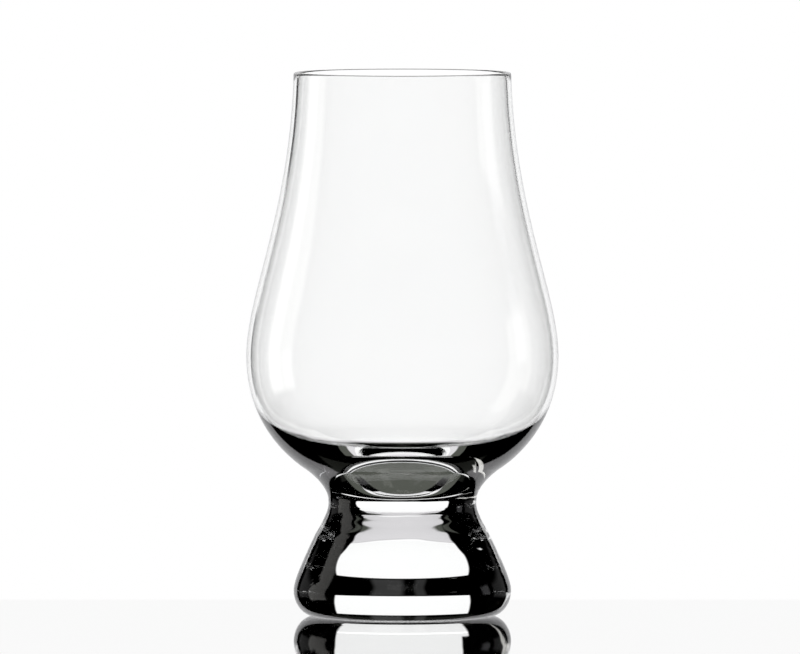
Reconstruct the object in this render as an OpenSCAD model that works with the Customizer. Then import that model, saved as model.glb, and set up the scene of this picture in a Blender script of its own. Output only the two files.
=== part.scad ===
// Whisky nosing glass in clear crystal.
// A blown tulip bowl is hot welded onto a pressed, solid foot. The two pieces are modelled
// face to face at that weld, each turned from its own closed outline.
// The origin is the middle of the foot's underside. +Z runs up the axis to the rim.

/* [Overall] */
// Height from the table to the top of the lip
glass_h = 115; // [108:1:124]

/* [Bowl outside] */
// Outside diameter at the lip
rim_d = 46; // [42:0.5:52]
// Outside diameter of the belly at its widest
belly_d = 66; // [60:0.5:72]
// Height of the widest part of the belly
belly_z = 55; // [50:0.5:60]
// Outside diameter of the waist between bowl and foot
waist_d = 31.2; // [27:0.2:35]
// Height of the waist
waist_z = 24.3; // [23.4:0.1:26.5]
// Slope of the bowl's underside where it tucks in to the waist, in degrees
tuck_slope = 33.5; // [28:0.5:40]

/* [Bowl walls] */
// Wall at the lip
rim_wall = 1.05; // [0.8:0.05:1.5]
// Wall at the widest part of the belly
belly_wall = 1; // [0.8:0.05:1.5]
// Glass in the thick lower bowl, from the tuck straight up to the shoulder of the well
tuck_wall = 4.5; // [3.6:0.1:5]
// Slope of the well's floor where it reaches that shoulder, in degrees
well_slope = 22.5; // [20:0.5:26]
// Glass under the middle of the well, down to the weld
floor_wall = 3.4; // [2.4:0.1:4.4]

/* [Foot] */
// Outside diameter of the foot
foot_d = 46; // [42:0.5:52]
// Height at which the foot is widest, above its rounded lower edge
foot_z = 5.4; // [4:0.2:7]
// Height of the weld between foot and bowl
weld_z = 22.8; // [21.5:0.1:23.2]
// Height of the straight flare between waist and foot
flare_z = 15; // [13:0.5:16.5]
// Diameter of the flare at that height
flare_d = 39; // [36:0.5:41]
// Lean of the flare from the vertical, in degrees
flare_lean = 24.4; // [20:0.5:30]
// Outside diameter of the flat ring that stands on the table
ring_d = 37; // [34:0.5:39]
// Width of that ring
ring_w = 1.3; // [0.8:0.1:2.5]
// Depth of the dished recess inside the ring
recess_h = 1.3; // [0.8:0.1:2.5]

/* [Hidden] */
$fn = 128;

crystal = [0.86, 0.92, 0.93, 0.45];
foot_crystal = [0.72, 0.80, 0.82, 0.6];

rim_r = rim_d / 2;
belly_r = belly_d / 2;
waist_r = waist_d / 2;
foot_r = foot_d / 2;
flare_r = flare_d / 2;
ring_r = ring_d / 2;
recess_r = ring_r - ring_w;
lip_r = rim_wall / 2;
lip_z = glass_h - lip_r;
well_z = weld_z + floor_wall;

// Steps along a curve, long and short
long_steps = 16;
short_steps = 8;

// How the chimney's near-straight upper run and its shoulder share the way from lip to belly
chimney_share = 0.49;
chimney_lean_share = 0.08;
shoulder_share = 0.22;
// Fullness of the bowl under the belly, as a share of the drop from belly to waist
keel_share = 0.44;
// Where the tuck sits, as shares of the way from the waist out and up to the belly
tuck_out_share = 0.29;
tuck_up_share = 0.226;
// Pull of the curve on either side of the tuck and at the waist, as shares of the same drop
tuck_pull_share = 0.17;
tuck_foot_share = 0.04;
waist_rise_share = 0.105;
// Pull of the curves between waist, flare and foot, as shares of each curve's own height
waist_fall_share = 0.33;
flare_head_share = 0.51;
flare_tail_share = 0.49;
foot_round_share = 0.21;
// Pull of the inner curve under the belly and above the well, as shares of the same drop
inner_keel_share = 0.38;
inner_tuck_share = 0.17;
// How far the well's shoulder lies out from the tuck, as a share of the way from waist to belly
well_out_share = 0.078;
// Pull of the well's floor in the middle and at its shoulder, as shares of the shoulder's radius
well_reach_share = 0.38;
well_rise_share = 0.65;

// A point on a cubic curve through p[0] and p[3], pulled toward p[1] and p[2]
function curve_point(p, s) =
    pow(1 - s, 3) * p[0] + 3 * pow(1 - s, 2) * s * p[1]
    + 3 * (1 - s) * pow(s, 2) * p[2] + pow(s, 3) * p[3];

// The whole curve, without its last point, so that the next curve can follow on
function curve(p, steps) = [for (i = [0 : steps - 1]) curve_point(p, i / steps)];

// A unit direction in the outline's plane, at an angle above the radius
function heading(angle) = [cos(angle), sin(angle)];

// The main points of the outer outline, from the foot to the lip, as [radius, height]
ring_edge = [ring_r, 0];
foot_wide = [foot_r, foot_z];
flare_mid = [flare_r, flare_z];
waist = [waist_r, waist_z];
belly = [belly_r, belly_z];
lip_out = [rim_r, lip_z];
flare_way = heading(90 + flare_lean);

// The drop from the belly to the waist, and the way out from one to the other
bowl_drop = belly_z - waist_z;
tuck = waist + [tuck_out_share * (belly_r - waist_r), tuck_up_share * bowl_drop];
tuck_way = heading(tuck_slope);
foot_rise = flare_z - foot_z;
waist_drop = waist_z - flare_z;
chimney_h = lip_z - belly_z;

// Rounded lower edge of the foot, a quarter of an ellipse that leaves the ring level
foot_edge = [for (i = [0 : short_steps - 1])
    let (a = 90 * i / short_steps)
    ring_edge + [(foot_r - ring_r) * sin(a), foot_z * (1 - cos(a))]];

foot_side = curve([
    foot_wide,
    foot_wide + [0, foot_round_share * foot_rise],
    flare_mid - flare_tail_share * foot_rise * flare_way,
    flare_mid
], short_steps);

waist_side = curve([
    flare_mid,
    flare_mid + flare_head_share * waist_drop * flare_way,
    waist - [0, waist_fall_share * waist_drop],
    waist
], short_steps);

tuck_side = curve([
    waist,
    waist + [0, waist_rise_share * bowl_drop],
    tuck - tuck_foot_share * bowl_drop * tuck_way,
    tuck
], short_steps);

keel_side = curve([
    tuck,
    tuck + tuck_pull_share * bowl_drop * tuck_way,
    belly - [0, keel_share * bowl_drop],
    belly
], long_steps);

// The chimney and shoulder from the belly to the lip, which the inner wall follows as well
function chimney(foot_point, lip_point) = curve([
    foot_point,
    foot_point + [0, shoulder_share * chimney_h],
    lip_point + [chimney_lean_share * (foot_point.x - lip_point.x), -chimney_share * chimney_h],
    lip_point
], long_steps);

foot_outline = concat(foot_edge, foot_side, waist_side);
bowl_outline = concat(tuck_side, keel_side, chimney(belly, lip_out));

// Rounded lip, half a circle from the outer wall over to the inner wall
lip = [for (i = [0 : short_steps])
    let (a = 180 * i / short_steps)
    [rim_r - lip_r, lip_z] + lip_r * [cos(a), sin(a)]];

// Inner outline, listed from the bottom of the well up to the lip
inner_belly = belly - [belly_wall, 0];
inner_lip = [rim_r - rim_wall, lip_z];
well_shoulder = tuck + [well_out_share * (belly_r - waist_r), tuck_wall];
well_way = heading(well_slope);

well_floor = curve([
    [0, well_z],
    [well_reach_share * well_shoulder.x, well_z],
    well_shoulder - well_rise_share * well_shoulder.x * well_way,
    well_shoulder
], long_steps);

inner_keel = curve([
    well_shoulder,
    well_shoulder + inner_tuck_share * bowl_drop * well_way,
    inner_belly - [0, inner_keel_share * bowl_drop],
    inner_belly
], long_steps);

inner_outline = concat(well_floor, inner_keel, chimney(inner_belly, inner_lip));

// The weld's radius is read off the waist curve at the weld's height
weld_r = lookup(weld_z, [for (p = foot_outline) [p.y, p.x]]);
foot_below_weld = [for (p = foot_outline) if (p.y < weld_z) p];
foot_above_weld = [for (p = foot_outline) if (p.y > weld_z) p];

// Dished underside, a shallow part of a sphere from the axis out to the ring
dish_r = (pow(recess_r, 2) + pow(recess_h, 2)) / (2 * recess_h);
dish = [for (i = [0 : short_steps])
    let (r = recess_r * i / short_steps)
    [r, recess_h - dish_r + sqrt(pow(dish_r, 2) - pow(r, 2))]];

function reversed(points) = [for (i = [len(points) - 1 : -1 : 0]) points[i]];

// How much the bowl holds to the brim, in millilitres, ring by ring up the inner wall
mm3_per_ml = 1000;
wet = concat(inner_outline, [inner_lip]);
ring_volumes = [for (i = [1 : len(wet) - 1])
    let (a = wet[i - 1], b = wet[i])
    PI * (b.y - a.y) * (pow(a.x, 2) + a.x * b.x + pow(b.x, 2)) / 3];
function total(list, i = 0) = i < len(list) ? list[i] + total(list, i + 1) : 0;
echo(str("Holds ", round(total(ring_volumes) / mm3_per_ml), " ml to the brim"));

// Blown bowl: the weld disc, the thick lower bowl, the thin belly and the chimney
module bowl() {
    color(crystal)
        rotate_extrude()
            polygon(concat(
                [[0, weld_z], [weld_r, weld_z]],
                foot_above_weld,
                bowl_outline,
                lip,
                reversed(inner_outline)
            ));
}

// Pressed foot: solid from the dished underside up to the weld
module base() {
    color(foot_crystal)
        rotate_extrude()
            polygon(concat(
                dish,
                foot_below_weld,
                [[weld_r, weld_z], [0, weld_z]]
            ));
}

bowl();
base();
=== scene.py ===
"""Looks of a whisky nosing glass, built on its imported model.

The glass is two pieces of clear crystal, a blown tulip bowl and a pressed foot, joined by a hot
weld at the waist. Geometry Nodes turn each piece on the axis from its named sizes. The studio
round them is a white window between black cards, which is what draws a clear glass.
"""

import logging
import math
from abc import ABC, abstractmethod
from collections.abc import Iterable
from dataclasses import dataclass, fields
from enum import Enum
from typing import ClassVar, NamedTuple, Optional, Union

import bpy
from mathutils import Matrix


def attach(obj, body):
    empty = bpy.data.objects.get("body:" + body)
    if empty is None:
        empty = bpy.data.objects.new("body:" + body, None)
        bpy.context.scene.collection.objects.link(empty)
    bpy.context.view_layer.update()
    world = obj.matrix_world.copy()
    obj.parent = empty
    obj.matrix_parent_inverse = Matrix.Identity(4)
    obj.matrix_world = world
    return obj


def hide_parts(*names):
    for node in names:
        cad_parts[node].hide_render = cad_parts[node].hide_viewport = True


log = logging.getLogger("nosing_glass")
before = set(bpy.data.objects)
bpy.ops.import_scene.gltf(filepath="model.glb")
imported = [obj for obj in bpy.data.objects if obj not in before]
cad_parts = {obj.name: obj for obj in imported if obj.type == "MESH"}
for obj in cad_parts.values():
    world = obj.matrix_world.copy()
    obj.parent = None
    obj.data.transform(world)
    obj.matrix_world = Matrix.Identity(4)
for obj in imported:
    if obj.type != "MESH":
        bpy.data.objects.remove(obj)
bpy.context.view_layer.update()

Socket = bpy.types.NodeSocket
Colour = tuple[float, float, float]


class Node(Enum):
    """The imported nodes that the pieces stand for."""

    BOWL = "bowl"
    BASE = "base"


class Slot(Enum):
    """The record's material slots."""

    CRYSTAL = "crystal"
    FOOT_CRYSTAL = "foot_crystal"


# Node trees


class Amount:
    """A number inside a node tree. Arithmetic on it adds Math nodes to that tree."""

    def __init__(self, bench: "Bench", socket: Socket) -> None:
        """Keeps the tree's bench and the socket that gives the number."""
        self.bench = bench
        self.socket = socket

    def __add__(self, other: "Value") -> "Amount":
        """The sum."""
        return self.bench.math("ADD", self, other)

    def __sub__(self, other: "Value") -> "Amount":
        """The difference."""
        return self.bench.math("SUBTRACT", self, other)

    def __rsub__(self, other: "Value") -> "Amount":
        """The difference from a plain number."""
        return self.bench.math("SUBTRACT", other, self)

    def __mul__(self, other: "Value") -> "Amount":
        """The product."""
        return self.bench.math("MULTIPLY", self, other)

    def __rmul__(self, other: "Value") -> "Amount":
        """The product."""
        return self.bench.math("MULTIPLY", other, self)


Value = Union[Amount, float]
Sizes = dict[str, Amount]


class Point(NamedTuple):
    """A point of an outline: how far out from the axis it lies, and how far up."""

    out: Value
    up: Value


class Span(NamedTuple):
    """A cubic curve of an outline, pulled toward two points on its way."""

    start: Point
    start_pull: Point
    end_pull: Point
    end: Point
    steps: int
    begin: Value = 0.0
    stop: Value = 1.0

    def turned_back(self) -> "Span":
        """The same curve, run from its end to its start."""
        return Span(self.end, self.end_pull, self.start_pull, self.start, self.steps)


class Mixed(Enum):
    """What a Mix node mixes: its data type, the places of its two inputs and of its output."""

    PLACE = ("VECTOR", 4, 5, 1)
    COLOUR = ("RGBA", 6, 7, 2)


class Bench:
    """Adds nodes to one tree and links them."""

    COLUMN_LENGTH: ClassVar[int] = 8
    COLUMN_PITCH: ClassVar[int] = 180
    ROW_PITCH: ClassVar[int] = -220

    def __init__(self, tree: bpy.types.NodeTree) -> None:
        """Keeps the tree that the nodes go into."""
        self.tree = tree

    def add(self, kind: str, **settings: object) -> bpy.types.Node:
        """Adds a node.

        Args:
            kind: Blender's name for the type of node.
            settings: Values for the node's own settings.

        Returns:
            The new node, laid out below or to the right of those before it.
        """
        node = self.tree.nodes.new(kind)
        for name, value in settings.items():
            setattr(node, name, value)
        column, row = divmod(len(self.tree.nodes), self.COLUMN_LENGTH)
        node.location = (column * self.COLUMN_PITCH, row * self.ROW_PITCH)
        return node

    def put(self, socket: Socket, value: object) -> None:
        """Links a socket or Amount into a socket, or sets a plain value on it."""
        if isinstance(value, Amount):
            value = value.socket
        if isinstance(value, Socket):
            self.tree.links.new(value, socket)
        elif socket.type == "RGBA":
            socket.default_value = (*value, 1.0)
        else:
            socket.default_value = value

    def fill(self, node: bpy.types.Node, inputs: dict[str, object]) -> Socket:
        """Puts values into a node's inputs by their names, and gives its first output."""
        for name, value in inputs.items():
            self.put(node.inputs[name], value)
        return node.outputs[0]

    def row(self, node: bpy.types.Node, *values: object) -> Socket:
        """Puts values into a node's inputs in their order, and gives its first output."""
        for socket, value in zip(node.inputs, values):
            self.put(socket, value)
        return node.outputs[0]

    def math(self, operation: str, *values: Value) -> Amount:
        """Adds a Math node over these values and gives its result."""
        return Amount(self, self.row(self.add("ShaderNodeMath", operation=operation), *values))

    def rise(self, value: Value, low: float, high: float) -> Amount:
        """A smooth step: 0 up to low, and 1 from high on."""
        node = self.add("ShaderNodeMapRange", interpolation_type="SMOOTHSTEP")
        return Amount(self, self.row(node, value, low, high, 0.0, 1.0))

    def fall(self, value: Value, low: float, high: float) -> Amount:
        """A smooth step: 1 up to low, and 0 from high on."""
        node = self.add("ShaderNodeMapRange", interpolation_type="SMOOTHSTEP")
        return Amount(self, self.row(node, value, low, high, 1.0, 0.0))

    def vector(self, x: Value, y: Value, z: Value) -> Socket:
        """Adds a Combine XYZ node over three values and gives its result."""
        return self.row(self.add("ShaderNodeCombineXYZ"), x, y, z)

    def parts(self, vector: Socket) -> tuple[Amount, Amount, Amount]:
        """The three numbers of a vector."""
        node = self.add("ShaderNodeSeparateXYZ")
        self.put(node.inputs[0], vector)
        x, y, z = (Amount(self, output) for output in node.outputs)
        return x, y, z

    def away(self, x: Amount, y: Amount) -> Amount:
        """How far a place lies from the axis."""
        return self.math("SQRT", x * x + y * y)

    def noise(self, place: Socket, scale: float, detail: float) -> Amount:
        """Noise with this many features in a metre."""
        node = self.add("ShaderNodeTexNoise", noise_dimensions="3D")
        return Amount(self, self.fill(node, {"Vector": place, "Scale": scale, "Detail": detail}))

    def bump(self, height: Amount, distance: float) -> bpy.types.Node:
        """Adds a Bump node of full strength, in which a height of 1 stands this far out."""
        node = self.add("ShaderNodeBump")
        self.fill(node, {"Strength": 1.0, "Distance": distance, "Height": height})
        return node

    def scaled(self, vector: object, share: Value) -> Socket:
        """Adds a node that scales a vector or a plain colour, and gives its result."""
        node = self.add("ShaderNodeVectorMath", operation="SCALE")
        self.put(node.inputs[0], vector)
        self.put(node.inputs["Scale"], share)
        return node.outputs[0]

    def between(self, what: Mixed, share: Value, first: object, second: object) -> Socket:
        """What lies this share of the way from the first to the second."""
        data_type, first_input, second_input, output = what.value
        node = self.add("ShaderNodeMix", data_type=data_type)
        self.put(node.inputs[0], share)
        self.put(node.inputs[first_input], first)
        self.put(node.inputs[second_input], second)
        return node.outputs[output]

    def shader(self, kind: str, inputs: dict[str, object]) -> Socket:
        """Adds a shader node and gives its shader."""
        return self.fill(self.add(kind), inputs)

    def mixed(self, share: Value, first: Socket, second: Socket) -> Socket:
        """Adds a Mix Shader node over two shaders and gives its shader."""
        return self.row(self.add("ShaderNodeMixShader"), share, first, second)

    def end(self, kind: str, result: Socket) -> None:
        """Adds the tree's last node and links the result into it."""
        self.put(self.add(kind).inputs[0], result)


class SpanTree:
    """The node group that turns one cubic curve of an outline about the axis."""

    NAME: ClassVar[str] = "turned_span"
    POINTS: ClassVar[tuple[str, ...]] = ("Start", "Start Pull", "End Pull", "End")
    SHARES: ClassVar[tuple[str, ...]] = ("Begin", "Stop")
    COUNTS: ClassVar[tuple[str, ...]] = ("Steps", "Turns")

    @classmethod
    def tree(cls) -> bpy.types.NodeTree:
        """Gives the group, and makes it on the first call."""
        return bpy.data.node_groups.get(cls.NAME) or cls.made()

    @classmethod
    def made(cls) -> bpy.types.NodeTree:
        """Makes the group.

        Returns:
            A tree whose inputs are the curve's four points, the shares where it begins and
            stops, its steps along the outline and its steps round the axis.
        """
        tree = bpy.data.node_groups.new(cls.NAME, "GeometryNodeTree")
        kinds = (
            (cls.POINTS, "NodeSocketVector"), (cls.SHARES, "NodeSocketFloat"), (cls.COUNTS, "NodeSocketInt")
        )
        for names, kind in kinds:
            for name in names:
                tree.interface.new_socket(name=name, in_out="INPUT", socket_type=kind)
        tree.interface.new_socket(name="Surface", in_out="OUTPUT", socket_type="NodeSocketGeometry")
        bench = Bench(tree)
        given = bench.add("NodeGroupInput").outputs
        begin, stop, steps, turns = (Amount(bench, given[name]) for name in cls.SHARES + cls.COUNTS)
        sheet = bench.fill(
            bench.add("GeometryNodeMeshGrid"),
            {"Size X": 1.0, "Size Y": 1.0, "Vertices X": steps + 1.0, "Vertices Y": turns + 1.0},
        )
        along, around, _ = bench.parts(bench.add("GeometryNodeInputPosition").outputs[0])
        share = begin + (along + 0.5) * (stop - begin)
        row: list[Socket] = [given[name] for name in cls.POINTS]
        while len(row) > 1:
            row = [bench.between(Mixed.PLACE, share, a, b) for a, b in zip(row, row[1:])]
        turned = bench.fill(
            bench.add("ShaderNodeVectorRotate", rotation_type="Z_AXIS"),
            {"Vector": row[0], "Angle": (around + 0.5) * (-2 * math.pi)},
        )
        placed = bench.fill(
            bench.add("GeometryNodeSetPosition"), {"Geometry": sheet, "Position": turned}
        )
        bench.end("NodeGroupOutput", placed)
        return tree


@dataclass(frozen=True)
class Ripple:
    """Chill marks: shallow rings left where the hot glass met a cooler tool. Lengths are in metres.

    Attributes:
        low: Height where they begin to fade in.
        high: Height where they have faded out.
        fade: Height over which they fade.
        pitch: Distance from ring to ring.
        depth: How far a ring stands out.
        inside: Radius within which nothing is marked.
        inside_fade: Width over which they fade in outside that radius.
        wobble: How far noise shifts a ring, in radians of its pitch.
        wobble_scale: How many features of that noise fit in a metre.
    """

    low: float = 0.0135
    high: float = 0.0275
    fade: float = 0.0035
    pitch: float = 0.0036
    depth: float = 0.00005
    inside: float = 0.0148
    inside_fade: float = 0.0006
    wobble: float = 5.0
    wobble_scale: float = 90.0

    def offset(self, bench: Bench) -> Socket:
        """Adds nodes for how far each point of the surface is moved, and gives their vector."""
        place = bench.add("GeometryNodeInputPosition").outputs[0]
        x, y, z = bench.parts(place)
        shift = bench.noise(place, self.wobble_scale, 2.0) * self.wobble
        wave = bench.math("SINE", z * (2 * math.pi / self.pitch) + shift)
        crest = bench.math("POWER", wave * 0.5 + 0.5, 2.0)
        lowest, highest = self.low + self.fade, self.high - self.fade
        band = bench.rise(z, self.low, lowest) * bench.fall(z, highest, self.high)
        outer = bench.rise(bench.away(x, y), self.inside, self.inside + self.inside_fade)
        outward = bench.add("ShaderNodeVectorMath", operation="NORMALIZE")
        bench.put(outward.inputs[0], bench.vector(x, y, 0.0))
        return bench.scaled(outward.outputs[0], crest * band * outer * self.depth)


@dataclass(frozen=True)
class Dress:
    """What a turned piece wears.

    Attributes:
        glass: Material of the outer and inner surfaces.
        seam: Material of the weld face.
        weld: Height of that face, in metres.
        ripple: Chill marks near the waist.
    """

    glass: bpy.types.Material
    seam: bpy.types.Material
    weld: float
    ripple: Ripple


@dataclass
class Turned(ABC):
    """A piece of glass that is turned on the axis from its outline. Lengths are in metres."""

    MERGE_DISTANCE: ClassVar[float] = 0.000002
    CREASE_ANGLE: ClassVar[float] = 0.6
    WELD_TOLERANCE: ClassVar[float] = 0.00002
    LEVEL_COSINE: ClassVar[float] = 0.9

    @abstractmethod
    def outline(self, size: Sizes) -> list[Span]:
        """The closed outline as spans, in which the glass lies to the left of the way along it."""

    @staticmethod
    def straight(start: Point, end: Point, steps: int = 1) -> Span:
        """A straight span."""
        return Span(start, start, end, end, steps)

    def turned(self, name: str, turns: int, dress: Dress) -> bpy.types.Object:
        """Builds the piece's Geometry Nodes tree, runs it and keeps its mesh.

        Args:
            name: The piece's name.
            turns: Steps round the axis.
            dress: What the piece wears.

        Returns:
            A new object at the origin with a plain closed mesh.
        """
        tree = bpy.data.node_groups.new(f"{name}_turned", "GeometryNodeTree")
        labels = {f.name: f.name.replace("_", " ").capitalize() for f in fields(self)}
        for size, label in labels.items():
            socket = tree.interface.new_socket(
                name=label, in_out="INPUT", socket_type="NodeSocketFloat"
            )
            socket.default_value = getattr(self, size)
        tree.interface.new_socket(name="Turned", in_out="OUTPUT", socket_type="NodeSocketGeometry")
        bench = Bench(tree)
        given = bench.add("NodeGroupInput").outputs
        sizes = {size: Amount(bench, given[label]) for size, label in labels.items()}
        marked = bench.fill(
            bench.add("GeometryNodeSetPosition"),
            {"Geometry": self.shell(bench, sizes, turns), "Offset": dress.ripple.offset(bench)},
        )
        bench.end("NodeGroupOutput", self.dressed(bench, self.creased(bench, marked), dress))
        return self.kept(name, tree, {label: getattr(self, size) for size, label in labels.items()})

    def shell(self, bench: Bench, sizes: Sizes, turns: int) -> Socket:
        """Turns every span of the outline, joins them and merges the points where they meet.

        Args:
            bench: The piece's bench.
            sizes: The piece's sizes as the tree's inputs.
            turns: Steps round the axis.

        Returns:
            The closed surface.
        """
        joined = bench.add("GeometryNodeJoinGeometry")
        for span in self.outline(sizes):
            turn = bench.add("GeometryNodeGroup", node_tree=SpanTree.tree())
            points = {
                label: bench.vector(point.out, 0.0, point.up)
                for label, point in zip(SpanTree.POINTS, span[:4])
            }
            rest = {"Begin": span.begin, "Stop": span.stop, "Steps": span.steps, "Turns": turns}
            bench.put(joined.inputs[0], bench.fill(turn, {**points, **rest}))
        return bench.fill(
            bench.add("GeometryNodeMergeByDistance"),
            {"Geometry": joined.outputs[0], "Distance": self.MERGE_DISTANCE},
        )

    def creased(self, bench: Bench, surface: Socket) -> Socket:
        """Shades the surface smooth and keeps its corners, such as the weld's edge, sharp."""
        angle = Amount(bench, bench.add("GeometryNodeInputMeshEdgeAngle").outputs[0])
        corner = bench.math("GREATER_THAN", angle, self.CREASE_ANGLE)
        smooth = bench.fill(
            bench.add("GeometryNodeSetShadeSmooth", domain="FACE"), {"Geometry": surface}
        )
        return bench.fill(
            bench.add("GeometryNodeSetShadeSmooth", domain="EDGE"),
            {"Geometry": smooth, "Selection": corner, "Shade Smooth": False},
        )

    def dressed(self, bench: Bench, surface: Socket, dress: Dress) -> Socket:
        """Gives the surface its glass, and the level face at the weld its own material."""
        real = bench.fill(bench.add("GeometryNodeRealizeInstances"), {"Geometry": surface})
        glass = bench.fill(
            bench.add("GeometryNodeSetMaterial"), {"Geometry": real, "Material": dress.glass}
        )
        height = bench.parts(bench.add("GeometryNodeInputPosition").outputs[0])[2]
        level = bench.math("ABSOLUTE", bench.parts(bench.add("GeometryNodeInputNormal").outputs[0])[2])
        at_weld = bench.math("COMPARE", height, dress.weld, self.WELD_TOLERANCE)
        face = at_weld * bench.math("GREATER_THAN", level, self.LEVEL_COSINE)
        return bench.fill(
            bench.add("GeometryNodeSetMaterial"),
            {"Geometry": glass, "Selection": face, "Material": dress.seam},
        )

    @staticmethod
    def kept(name: str, tree: bpy.types.NodeTree, values: dict[str, float]) -> bpy.types.Object:
        """Runs a tree on a new object and keeps the result as its plain mesh.

        Args:
            name: The piece's name.
            tree: The piece's tree.
            values: The sizes, by the names of the tree's inputs.

        Returns:
            The object, with the modifier gone.
        """
        made = bpy.data.objects.new(name, bpy.data.meshes.new(name))
        bpy.context.scene.collection.objects.link(made)
        modifier = made.modifiers.new("turned", "NODES")
        modifier.node_group = tree
        for item in tree.interface.items_tree:
            if item.name in values:
                modifier[item.identifier] = values[item.name]
        graph = bpy.context.evaluated_depsgraph_get()
        mesh = bpy.data.meshes.new_from_object(
            made.evaluated_get(graph), preserve_all_data_layers=True, depsgraph=graph
        )
        made.modifiers.remove(modifier)
        made.data = mesh
        mesh.name = name
        return made


# The glass

# How far a cubic curve is pulled, as a share of the radius, to follow a quarter of a circle
CIRCLE_PULL = 0.5523


def cubic(points: tuple[float, float, float, float], share: float) -> float:
    """One coordinate of a cubic curve, at a share of the way along it."""
    a, b, c, d = points
    rest = 1 - share
    return rest**3 * a + 3 * rest**2 * share * b + 3 * rest * share**2 * c + share**3 * d


@dataclass
class Waist(Turned):
    """The sizes that bowl and foot share: the curve from the flare up to the waist, cut by the weld."""

    HALVINGS: ClassVar[int] = 60

    flare_radius: float = 0.0195
    flare_height: float = 0.015
    flare_lean: float = 24.4
    flare_head: float = 0.51
    waist_radius: float = 0.0156
    waist_height: float = 0.0243
    waist_fall: float = 0.33
    weld_height: float = 0.0228
    weld_share: float = 0.0
    weld_radius: float = 0.0

    def __post_init__(self) -> None:
        """Finds where on the curve the weld lies, by halving."""
        drop = self.waist_height - self.flare_height
        lean = math.radians(90 + self.flare_lean)
        ups = (
            self.flare_height,
            self.flare_height + self.flare_head * drop * math.sin(lean),
            self.waist_height - self.waist_fall * drop,
            self.waist_height,
        )
        outs = (
            self.flare_radius,
            self.flare_radius + self.flare_head * drop * math.cos(lean),
            self.waist_radius,
            self.waist_radius,
        )
        low, high = 0.0, 1.0
        for _ in range(self.HALVINGS):
            self.weld_share = (low + high) / 2
            if cubic(ups, self.weld_share) < self.weld_height:
                low = self.weld_share
            else:
                high = self.weld_share
        self.weld_radius = cubic(outs, self.weld_share)

    @staticmethod
    def way(slope: Amount) -> tuple[Amount, Amount]:
        """The cosine and sine of a slope in degrees, as nodes."""
        turn = slope.bench.math("RADIANS", slope)
        return slope.bench.math("COSINE", turn), slope.bench.math("SINE", turn)

    def waist_curve(self, size: Sizes, steps: int) -> Span:
        """The whole curve from the flare to the waist."""
        drop = size["waist_height"] - size["flare_height"]
        out, up = self.way(size["flare_lean"] + 90.0)
        pull = size["flare_head"] * drop
        return Span(
            Point(size["flare_radius"], size["flare_height"]),
            Point(size["flare_radius"] + pull * out, size["flare_height"] + pull * up),
            Point(size["waist_radius"], size["waist_height"] - size["waist_fall"] * drop),
            Point(size["waist_radius"], size["waist_height"]),
            steps,
        )


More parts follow.
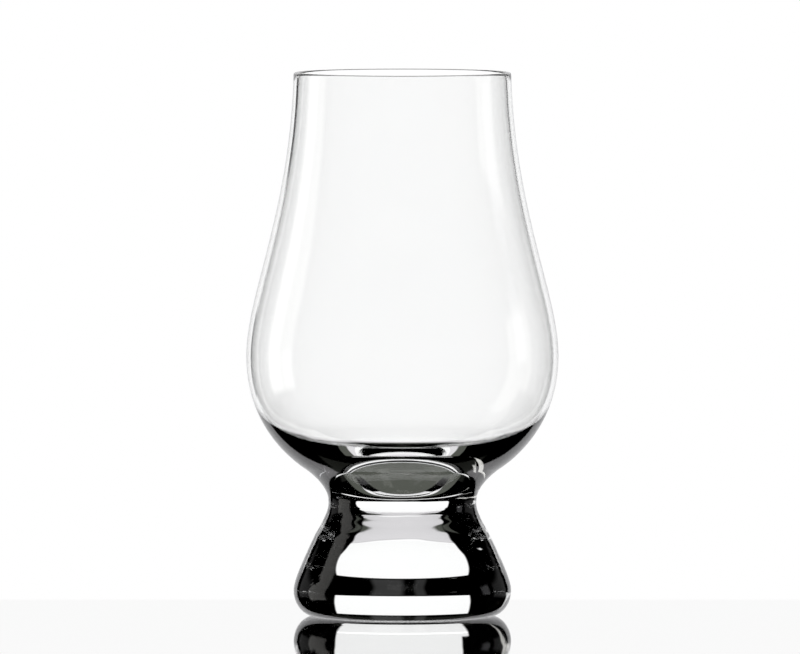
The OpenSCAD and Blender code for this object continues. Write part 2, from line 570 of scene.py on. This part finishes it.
@dataclass
class TulipBowl(Waist):
    """The blown bowl: a thick lower bowl round the well, a thin belly and a narrowing chimney."""

    WAIST_STEPS: ClassVar[int] = 8
    TUCK_STEPS: ClassVar[int] = 28
    KEEL_STEPS: ClassVar[int] = 48
    CHIMNEY_STEPS: ClassVar[int] = 52
    LIP_STEPS: ClassVar[int] = 8
    WELL_STEPS: ClassVar[int] = 40

    lip_height: float = 0.115
    lip_radius: float = 0.023
    belly_radius: float = 0.033
    belly_height: float = 0.055
    tuck_slope: float = 33.5
    lip_wall: float = 0.00105
    belly_wall: float = 0.001
    tuck_wall: float = 0.0045
    floor_wall: float = 0.0034
    well_slope: float = 22.5
    chimney_pull: float = 0.49
    chimney_lean: float = 0.08
    shoulder_pull: float = 0.22
    keel_pull: float = 0.44
    tuck_out: float = 0.29
    tuck_up: float = 0.226
    tuck_pull: float = 0.17
    tuck_foot: float = 0.04
    waist_rise: float = 0.105
    inner_keel: float = 0.38
    inner_pull: float = 0.17
    well_out: float = 0.078
    well_reach: float = 0.38
    well_rise: float = 0.65

    def chimney(self, size: Sizes, foot: Point, lip: Point) -> Span:
        """The curve from the belly up to the lip, outside or inside."""
        rise = lip.up - size["belly_height"]
        return Span(
            foot,
            Point(foot.out, foot.up + size["shoulder_pull"] * rise),
            Point(
                lip.out + size["chimney_lean"] * (foot.out - lip.out),
                lip.up - size["chimney_pull"] * rise,
            ),
            lip,
            self.CHIMNEY_STEPS,
        )

    def lip(self, size: Sizes, outer: Point, inner: Point) -> list[Span]:
        """The rounded lip, from the outer wall over its crown to the inner wall."""
        half_wall = size["lip_wall"] * 0.5
        bend = half_wall * CIRCLE_PULL
        crown = Point(size["lip_radius"] - half_wall, size["lip_height"])
        return [
            Span(
                outer,
                Point(outer.out, outer.up + bend),
                Point(crown.out + bend, crown.up),
                crown,
                self.LIP_STEPS,
            ),
            Span(
                crown,
                Point(crown.out - bend, crown.up),
                Point(inner.out, inner.up + bend),
                inner,
                self.LIP_STEPS,
            ),
        ]

    def outline(self, size: Sizes) -> list[Span]:
        """The closed outline, from the weld out and up over the lip and down into the well."""
        weld_up = size["weld_height"]
        lip_up = size["lip_height"] - size["lip_wall"] * 0.5
        lip_out = Point(size["lip_radius"], lip_up)
        lip_in = Point(size["lip_radius"] - size["lip_wall"], lip_up)
        waist = Point(size["waist_radius"], size["waist_height"])
        belly = Point(size["belly_radius"], size["belly_height"])
        belly_in = Point(size["belly_radius"] - size["belly_wall"], size["belly_height"])
        drop, spread = belly.up - waist.up, belly.out - waist.out
        tuck = Point(waist.out + size["tuck_out"] * spread, waist.up + size["tuck_up"] * drop)
        tuck_out, tuck_up = self.way(size["tuck_slope"])
        foot_pull, keel_pull = size["tuck_foot"] * drop, size["tuck_pull"] * drop
        shoulder = Point(tuck.out + size["well_out"] * spread, tuck.up + size["tuck_wall"])
        well_out, well_up = self.way(size["well_slope"])
        in_pull, well_pull = size["inner_pull"] * drop, size["well_rise"] * shoulder.out
        well = Point(0.0, weld_up + size["floor_wall"])
        return [
            self.straight(Point(0.0, weld_up), Point(size["weld_radius"], weld_up)),
            self.waist_curve(size, self.WAIST_STEPS)._replace(begin=size["weld_share"]),
            Span(
                waist,
                Point(waist.out, waist.up + size["waist_rise"] * drop),
                Point(tuck.out - foot_pull * tuck_out, tuck.up - foot_pull * tuck_up),
                tuck,
                self.TUCK_STEPS,
            ),
            Span(
                tuck,
                Point(tuck.out + keel_pull * tuck_out, tuck.up + keel_pull * tuck_up),
                Point(belly.out, belly.up - size["keel_pull"] * drop),
                belly,
                self.KEEL_STEPS,
            ),
            self.chimney(size, belly, lip_out),
            *self.lip(size, lip_out, lip_in),
            self.chimney(size, belly_in, lip_in).turned_back(),
            Span(
                belly_in,
                Point(belly_in.out, belly_in.up - size["inner_keel"] * drop),
                Point(shoulder.out + in_pull * well_out, shoulder.up + in_pull * well_up),
                shoulder,
                self.KEEL_STEPS,
            ),
            Span(
                shoulder,
                Point(shoulder.out - well_pull * well_out, shoulder.up - well_pull * well_up),
                Point(size["well_reach"] * shoulder.out, well.up),
                well,
                self.WELL_STEPS,
            ),
        ]


@dataclass
class PressedFoot(Waist):
    """The pressed foot: solid from its dished underside up to the weld."""

    DISH_STEPS: ClassVar[int] = 16
    RING_STEPS: ClassVar[int] = 2
    EDGE_STEPS: ClassVar[int] = 24
    SIDE_STEPS: ClassVar[int] = 40
    WAIST_STEPS: ClassVar[int] = 48

    foot_radius: float = 0.023
    foot_height: float = 0.0054
    foot_round: float = 0.21
    flare_tail: float = 0.49
    ring_radius: float = 0.0185
    ring_width: float = 0.0013
    recess_height: float = 0.0013

    def outline(self, size: Sizes) -> list[Span]:
        """The closed outline, from the middle of the dish out round the foot and up to the weld."""
        recess = size["ring_radius"] - size["ring_width"]
        recess_up = size["recess_height"]
        rise = size["flare_height"] - size["foot_height"]
        out, up = self.way(size["flare_lean"] + 90.0)
        tail = size["flare_tail"] * rise
        bulge = size["foot_radius"] - size["ring_radius"]
        ring, wide = Point(size["ring_radius"], 0.0), Point(size["foot_radius"], size["foot_height"])
        flare = Point(size["flare_radius"], size["flare_height"])
        weld_up = size["weld_height"]
        return [
            Span(
                Point(0.0, recess_up),
                Point(recess * 0.3333, recess_up),
                Point(recess * 0.6667, recess_up * 0.6667),
                Point(recess, 0.0),
                self.DISH_STEPS,
            ),
            self.straight(Point(recess, 0.0), ring, self.RING_STEPS),
            Span(
                ring,
                Point(ring.out + CIRCLE_PULL * bulge, 0.0),
                Point(wide.out, wide.up * (1 - CIRCLE_PULL)),
                wide,
                self.EDGE_STEPS,
            ),
            Span(
                wide,
                Point(wide.out, wide.up + size["foot_round"] * rise),
                Point(flare.out - tail * out, flare.up - tail * up),
                flare,
                self.SIDE_STEPS,
            ),
            self.waist_curve(size, self.WAIST_STEPS)._replace(stop=size["weld_share"]),
            self.straight(Point(size["weld_radius"], weld_up), Point(0.0, weld_up)),
        ]


# Finishes


def blank(name: str) -> tuple[bpy.types.Material, Bench]:
    """A new material without nodes, and the bench of its tree."""
    made = bpy.data.materials.new(name)
    made.use_nodes = True
    made.node_tree.nodes.clear()
    return made, Bench(made.node_tree)


@dataclass(frozen=True)
class Folds:
    """Chill folds on the two flanks where the mould parts. Lengths are in metres.

    Attributes:
        depth: How deep a fold is.
        scale: How many folds fit in a metre, counted across them.
        length: Their width as a share of their length.
        aside: How far out on either side they begin and are full.
        above: Heights where they begin and are full.
        below: Heights where they wane and are gone.
        patch_scale: How many patches of them fit in a metre.
        patch: Between which levels of its noise a patch begins and is full.
    """

    depth: float = 0.00006
    scale: float = 800.0
    length: float = 0.16
    aside: tuple[float, float] = (0.0145, 0.018)
    above: tuple[float, float] = (0.003, 0.0055)
    below: tuple[float, float] = (0.0125, 0.0185)
    patch_scale: float = 170.0
    patch: tuple[float, float] = (0.38, 0.62)

    def height(self, bench: Bench, place: Socket) -> Amount:
        """Adds nodes for how far the folds stand out at a place. They slant down the flank."""
        x, y, z = bench.parts(place)
        across, along = z * 0.8 + y * 0.6, y * 0.8 - z * 0.6
        streaks = bench.vector(across, along * self.length, x * self.length)
        folds = bench.noise(streaks, self.scale, 1.5) - 0.5
        flank = bench.rise(bench.math("ABSOLUTE", x), *self.aside)
        band = bench.rise(z, *self.above) * bench.fall(z, *self.below)
        patches = bench.rise(bench.noise(place, self.patch_scale, 2.0), *self.patch)
        return folds * flank * band * patches * self.depth


@dataclass(frozen=True)
class Scuffs:
    """Fine scratches on the ring that the glass stands on. Lengths are in metres.

    Attributes:
        depth: How deep a scratch is.
        scale: How many scratches fit in a metre.
        inner: Radii where they begin and are full.
        outer: Radii where they wane and are gone.
        rise: Height up to which they fade.
    """

    depth: float = 0.00002
    scale: float = 2600.0
    inner: tuple[float, float] = (0.017, 0.0172)
    outer: tuple[float, float] = (0.0185, 0.019)
    rise: float = 0.0003

    def height(self, bench: Bench, place: Socket) -> Amount:
        """Adds nodes for how far the scratches stand out at a place."""
        x, y, z = bench.parts(place)
        away = bench.away(x, y)
        ring = bench.rise(away, *self.inner) * bench.fall(away, *self.outer)
        return bench.noise(place, self.scale, 3.0) * ring * bench.fall(z, 0.0, self.rise) * self.depth


@dataclass(frozen=True)
class Crystal:
    """Clear crystal with the faint waves of hot-formed glass.

    Attributes:
        name: The material's name.
        tint: Colour of the glass at its clearest.
        deep_tint: Colour where it is a shade less clear.
        marks: Folds and scuffs that lie over the waves.
        wave: How many waves fit in a metre.
        relief: Height of a wave, in metres.
        index: How strongly it bends light.
        shade: What its shadow lets through.
    """

    name: str
    tint: Colour
    deep_tint: Colour
    marks: tuple[Union[Folds, Scuffs], ...] = ()
    wave: float = 60.0
    relief: float = 0.00001
    index: float = 1.52
    shade: Colour = (0.9, 0.9, 0.9)

    def material(self) -> bpy.types.Material:
        """Makes the material: clear glass to the eye, and nearly clear to the lamps' shadows."""
        made, bench = blank(self.name)
        place = bench.add("ShaderNodeTexCoord").outputs["Object"]
        cloud = bench.noise(place, self.wave, 1.5)
        glass = bench.shader(
            "ShaderNodeBsdfPrincipled",
            {
                "Base Color": bench.between(Mixed.COLOUR, cloud, self.tint, self.deep_tint),
                "Roughness": 0.0,
                "IOR": self.index,
                "Transmission Weight": 1.0,
                "Normal": self.normal(bench, place, cloud),
            },
        )
        clear = bench.shader("ShaderNodeBsdfTransparent", {"Color": self.shade})
        shadow = Amount(bench, bench.add("ShaderNodeLightPath").outputs["Is Shadow Ray"])
        bench.end("ShaderNodeOutputMaterial", bench.mixed(shadow, glass, clear))
        return made

    def normal(self, bench: Bench, place: Socket, cloud: Amount) -> Socket:
        """The surface's direction, with the waves and the marks on it.

        Args:
            bench: The material's bench.
            place: The surface's own coordinates.
            cloud: The waves.

        Returns:
            The direction after the last bump.
        """
        waves = bench.bump(cloud, self.relief)
        heights = [mark.height(bench, place) for mark in self.marks]
        if not heights:
            return waves.outputs[0]
        total = heights[0]
        for height in heights[1:]:
            total = total + height
        marked = bench.bump(total, 1.0)
        bench.put(marked.inputs["Normal"], waves.outputs[0])
        return marked.outputs[0]


@dataclass(frozen=True)
class HotWeld:
    """The weld's two faces, where the glass runs on without a surface."""

    name: str = "hot_weld"

    def material(self) -> bpy.types.Material:
        """Makes the material."""
        made, bench = blank(self.name)
        bench.end("ShaderNodeOutputMaterial", bench.shader("ShaderNodeBsdfTransparent", {}))
        return made


@dataclass(frozen=True)
class GlossySlab:
    """A pale slab that mirrors the glass at a grazing look and is matt white from above.

    Attributes:
        name: The material's name.
        sheen: Colour of what it mirrors.
        matt: Its colour from above.
        roughness: How blurred the mirror image is.
        grazing: Between which angles of look matt turns to mirror, where 1 is along the slab.
        far_edge: Where behind the glass it begins to fade and is gone, in metres.
        reach: How far from the glass it begins to fade and is gone.
    """

    name: str = "pale_slab"
    sheen: Colour = (0.85, 0.85, 0.85)
    matt: Colour = (0.96, 0.96, 0.96)
    roughness: float = 0.03
    grazing: tuple[float, float] = (0.75, 0.93)
    far_edge: tuple[float, float] = (0.046, 0.058)
    reach: tuple[float, float] = (0.45, 0.9)

    def material(self) -> bpy.types.Material:
        """Makes the material, which fades to the white behind it past the slab's far edge."""
        made, bench = blank(self.name)
        gloss = bench.shader("ShaderNodeBsdfGlossy", {"Color": self.sheen, "Roughness": self.roughness})
        matt = bench.shader("ShaderNodeBsdfDiffuse", {"Color": self.matt})
        look = Amount(bench, bench.add("ShaderNodeLayerWeight").outputs["Facing"])
        slab = bench.mixed(bench.rise(look, *self.grazing), matt, gloss)
        x, y, _ = bench.parts(bench.add("ShaderNodeTexCoord").outputs["Object"])
        behind = bench.rise(y, *self.far_edge)
        gone = bench.math("MAXIMUM", behind, bench.rise(bench.away(x, y), *self.reach))
        clear = bench.shader("ShaderNodeBsdfTransparent", {})
        bench.end("ShaderNodeOutputMaterial", bench.mixed(gone, slab, clear))
        return made


# The studio


class Seen(Enum):
    """The rays that see a patch of the surround."""

    ANY = "every ray that has met glass"
    MIRRORED = "rays mirrored on the way"
    SHEEN = "rays mirrored last, off an outside surface"
    INNER = "rays mirrored inside the hollow bowl"
    BENT = "rays bent last"
    TURNED = "rays mirrored on the way and bent last, as inside a wall"
    STRAIGHT = "rays that glass has only bent"
    BOWL = "rays bent by three surfaces or more, so by the hollow bowl alone"
    WALL = "rays bent by one wall alone, as through the mouth"


@dataclass(frozen=True)
class LitPatch:
    """A soft-edged bright patch of the studio's surround. Angles are in degrees.

    Attributes:
        azimuth: Its middle, clockwise from behind the glass as seen from above.
        half_width: Half its width.
        low: Its lower edge above the horizon.
        high: Its upper edge.
        colour: What it gives off.
        soft: How wide its edges are.
        seen: The rays that see it.
    """

    azimuth: float
    half_width: float
    low: float
    high: float
    colour: Colour
    soft: float
    seen: Seen = Seen.ANY


WINDOW: Colour = (1.13, 1.13, 1.13)
WINDOW_TOP: Colour = (1.12, 1.12, 1.12)
WINDOW_SHEEN: Colour = (0.74, 0.74, 0.75)
LILAC: Colour = (0.83, 0.815, 0.835)
DEEP_GREY: Colour = (0.098, 0.104, 0.09)
LEFT_LIGHT: Colour = (0.82, 0.81, 0.78)
RIGHT_LIGHT: Colour = (0.5, 0.5, 0.52)
SIDE_GLOW: Colour = (0.15, 0.15, 0.15)
BACK_LIGHT: Colour = (1.05, 1.05, 1.05)

SURROUND = (
    # The white window behind the glass. Walls mirror a little less of its left side, which
    # leaves the dark line down the bowl's left edge.
    LitPatch(0, 28.6, -33.5, -9.0, WINDOW, 1.2, Seen.BENT),
    LitPatch(0, 28.6, -9.0, 8.0, WINDOW, 1.2, Seen.STRAIGHT),
    LitPatch(2.0, 26.6, -9.0, 2.5, WINDOW, 1.2, Seen.TURNED),
    LitPatch(0, 28.6, 2.5, 8.0, WINDOW, 1.2, Seen.TURNED),
    LitPatch(0, 28.6, -33.5, 8.0, WINDOW_SHEEN, 3.0, Seen.SHEEN),
    # The window's top, which the foot's underside mirrors
    LitPatch(0, 28.6, 7.0, 26.0, WINDOW_TOP, 2.0, Seen.MIRRORED),
    # Below the window: the lilac of its sill, then the deep grey that fills the well
    LitPatch(0, 28.6, -42.5, -33.5, LILAC, 2.0),
    LitPatch(0, 28.6, -90.0, -42.5, DEEP_GREY, 2.0),
    LitPatch(-35.6, 7, -90.0, -45.5, DEEP_GREY, 3.0),
    LitPatch(35.6, 7, -90.0, -45.5, DEEP_GREY, 3.0),
    # Above the window: two faint greys in the dark band across the foot
    LitPatch(6, 6, 10.0, 34.0, (0.045, 0.045, 0.045), 3.0),
    LitPatch(-7, 2, 10.0, 34.0, (0.035, 0.035, 0.035), 2.0),
    # Soft lights on either side, which the bowl and the foot's flanks mirror
    LitPatch(-75, 14, -16.0, 15.0, LEFT_LIGHT, 4.0, Seen.MIRRORED),
    LitPatch(-80, 10, 15.0, 40.0, LEFT_LIGHT, 4.0, Seen.MIRRORED),
    LitPatch(79, 6, -3.0, 16.0, RIGHT_LIGHT, 4.0, Seen.MIRRORED),
    LitPatch(-50, 12, -9.0, 14.0, SIDE_GLOW, 5.0, Seen.SHEEN),
    LitPatch(51, 14, -9.0, 14.0, SIDE_GLOW, 5.0, Seen.SHEEN),
    # Pale cards beside the window, which the thick lower bowl turns toward the front
    LitPatch(-44, 20, -32.0, 14.0, (0.62, 0.62, 0.62), 8.0, Seen.INNER),
    LitPatch(47, 22, -32.0, 14.0, (0.95, 0.95, 0.95), 8.0, Seen.INNER),
    # Windows and a card for whoever walks round the glass
    LitPatch(-94, 26, -33.5, 7.0, BACK_LIGHT, 2.0, Seen.STRAIGHT),
    LitPatch(135, 30, -33.5, 4.0, BACK_LIGHT, 2.0, Seen.STRAIGHT),
    LitPatch(-45, 13, -36.0, -15.0, (1.0, 1.0, 1.0), 6.0, Seen.BOWL),
    LitPatch(-45, 1.7, -27.0, -23.0, (0.85, 0.85, 0.85), 2.0, Seen.WALL),
)


@dataclass
class Studio:
    """The surround, the slab and the camera. Lengths are in metres.

    Attributes:
        plain: The white that matt surfaces meet.
        slab_white: The white that the slab mirrors.
        half_slab: Half the slab's side.
        slab_drop: How far the slab lies under the glass.
        camera_away: How far in front of the glass the camera stands.
        camera_height: How high it stands.
        aim_height: The height on the glass that it is turned to.
        far: How far it sees.
        sensor: Width of its sensor, in millimetres.
        picture: The photograph's width and height, in pixels.
        pixels_per_metre: The photograph's scale.
        axis_pixel: Where in it that height on the glass's axis lies.
    """

    plain: Colour = (1.0, 1.0, 1.0)
    slab_white: Colour = (1.12, 1.12, 1.12)
    half_slab: float = 1.0
    slab_drop: float = 0.00001
    camera_away: float = 3.5
    camera_height: float = 0.233
    aim_height: float = 0.0575
    far: float = 100.0
    sensor: float = 36.0
    picture: tuple[float, float] = (800.0, 654.0)
    pixels_per_metre: float = 4731.0
    axis_pixel: tuple[float, float] = (402.4, 344.2)

    def surround(self) -> None:
        """Lights the scene evenly, and shows clear glass a window between dark cards.

        The window and cards are seen only in reflections and through glass. The camera and
        matt surfaces meet plain white.
        """
        world = bpy.data.worlds.new("studio")
        bpy.context.scene.world = world
        world.use_nodes = True
        world.node_tree.nodes.clear()
        bench = Bench(world.node_tree)
        x, y, z = bench.parts(bench.add("ShaderNodeTexCoord").outputs["Generated"])
        azimuth = bench.math("ARCTAN2", x, y) * math.degrees(1)
        height = bench.math("ARCSINE", z) * math.degrees(1)
        path = bench.add("ShaderNodeLightPath").outputs
        mirrored = Amount(bench, path["Is Reflection Ray"])
        off_slab = mirrored * (1.0 - Amount(bench, path["Is Singular Ray"]))
        glossy = Amount(bench, path["Is Glossy Ray"])
        through = Amount(bench, path["Is Transmission Ray"])
        by_glass = bench.math("MAXIMUM", glossy, through) * (1.0 - off_slab)
        shares = self.shares(bench, path, mirrored)
        cards: Optional[Socket] = None
        for patch in SURROUND:
            lit = self.lit(bench, patch, azimuth, height, shares)
            if cards is None:
                cards = lit
                continue
            both = bench.add("ShaderNodeVectorMath", operation="ADD")
            cards = bench.row(both, cards, lit)
        white = bench.between(Mixed.COLOUR, off_slab, self.plain, self.slab_white)
        seen = bench.between(Mixed.COLOUR, by_glass, white, cards)
        bench.end("ShaderNodeOutputWorld", bench.shader("ShaderNodeBackground", {"Color": seen}))

    @staticmethod
    def shares(bench: Bench, path: bpy.types.NodeOutputs, mirrored: Amount) -> dict[Seen, Value]:
        """Sorts the rays.

        Args:
            bench: The world's bench.
            path: The Light Path node's outputs.
            mirrored: 1 for a ray that was mirrored last, else 0.

        Returns:
            For each kind of ray, 1 where the ray is of that kind, else 0.
        """
        bounced = bench.math("MINIMUM", Amount(bench, path["Glossy Depth"]), 1.0)
        hollow = bench.math("GREATER_THAN", Amount(bench, path["Transmission Depth"]), 2.5)
        straight, bent = 1.0 - bounced, 1.0 - mirrored
        turned = bounced * bent
        return {
            Seen.ANY: 1.0,
            Seen.MIRRORED: bounced,
            Seen.SHEEN: mirrored,
            Seen.INNER: turned * hollow,
            Seen.BENT: bent,
            Seen.TURNED: turned,
            Seen.STRAIGHT: straight,
            Seen.BOWL: straight * hollow,
            Seen.WALL: straight * (1.0 - hollow),
        }

    @staticmethod
    def lit(
        bench: Bench, patch: LitPatch, azimuth: Amount, height: Amount, shares: dict[Seen, Value]
    ) -> Socket:
        """Adds nodes for one patch.

        Args:
            bench: The world's bench.
            patch: The patch.
            azimuth: Azimuth of the direction, in degrees.
            height: Its height above the horizon, in degrees.
            shares: For each kind of ray, 1 where the ray is of that kind, else 0.

        Returns:
            The patch's colour within it, and black elsewhere.
        """
        half = patch.soft / 2
        aside = bench.math("ABSOLUTE", bench.math("WRAP", azimuth - patch.azimuth, -180.0, 180.0))
        share = (
            bench.fall(aside, patch.half_width - half, patch.half_width + half)
            * bench.rise(height, patch.low - half, patch.low + half)
            * bench.fall(height, patch.high - half, patch.high + half)
            * shares[patch.seen]
        )
        return bench.scaled(patch.colour, share)

    def slab(self) -> bpy.types.Object:
        """Lays the pale slab under the glass. What is seen in or through the glass leaves it out."""
        half = self.half_slab
        mesh = bpy.data.meshes.new("slab")
        corners = [(-half, -half), (half, -half), (half, half), (-half, half)]
        mesh.from_pydata([(x, y, -self.slab_drop) for x, y in corners], [], [(0, 1, 2, 3)])
        mesh.materials.append(GlossySlab().material())
        made = bpy.data.objects.new("slab", mesh)
        bpy.context.scene.collection.objects.link(made)
        made.visible_transmission = False
        made.visible_glossy = False
        return made

    def camera(self) -> bpy.types.Object:
        """Stands the camera in front of the glass, slightly above it, and frames it."""
        lens = bpy.data.cameras.new("camera")
        made = bpy.data.objects.new("camera", lens)
        bpy.context.scene.collection.objects.link(made)
        made.location = (0.0, -self.camera_away, self.camera_height)
        fall = self.camera_height - self.aim_height
        made.rotation_euler = (math.pi / 2 - math.atan2(fall, self.camera_away), 0.0, 0.0)
        distance = math.hypot(self.camera_away, fall)
        width, height = self.picture
        lens.sensor_width = self.sensor
        lens.lens = self.pixels_per_metre * distance / width * self.sensor
        lens.shift_x = (width / 2 - self.axis_pixel[0]) / width
        lens.shift_y = (self.axis_pixel[1] - height / 2) / width
        lens.clip_end = self.far
        bpy.context.scene.camera = made
        return made


def report(pieces: Iterable[bpy.types.Object]) -> None:
    """Logs each piece's name, size and number of faces."""
    for piece in pieces:
        size = ", ".join(f"{side * 1000:.1f}" for side in piece.dimensions)
        log.info("%s: %s mm, %d faces", piece.name, size, len(piece.data.polygons))


def main() -> None:
    """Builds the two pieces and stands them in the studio."""
    logging.basicConfig(level=logging.INFO, format="%(message)s")
    weld, ripple = HotWeld().material(), Ripple()
    blown = Crystal("blown_crystal", (0.999, 1.0, 0.9995), (0.994, 0.997, 0.996))
    pressed = Crystal("pressed_crystal", (0.97, 0.975, 0.973), (0.955, 0.963, 0.96), (Folds(), Scuffs()))
    tulip, solid = TulipBowl(), PressedFoot()
    bowl = tulip.turned("tulip_bowl", 256, Dress(blown.material(), weld, tulip.weld_height, ripple))
    foot = solid.turned("pressed_foot", 320, Dress(pressed.material(), weld, solid.weld_height, ripple))
    for piece, node, slot in ((bowl, Node.BOWL, Slot.CRYSTAL), (foot, Node.BASE, Slot.FOOT_CRYSTAL)):
        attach(piece, "root")
        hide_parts(node.value)
    studio = Studio()
    studio.surround()
    studio.slab()
    studio.camera()
    bpy.context.scene.view_settings.view_transform = "Standard"
    bpy.context.view_layer.update()
    report((bowl, foot))


if __name__ == "__main__":
    main()
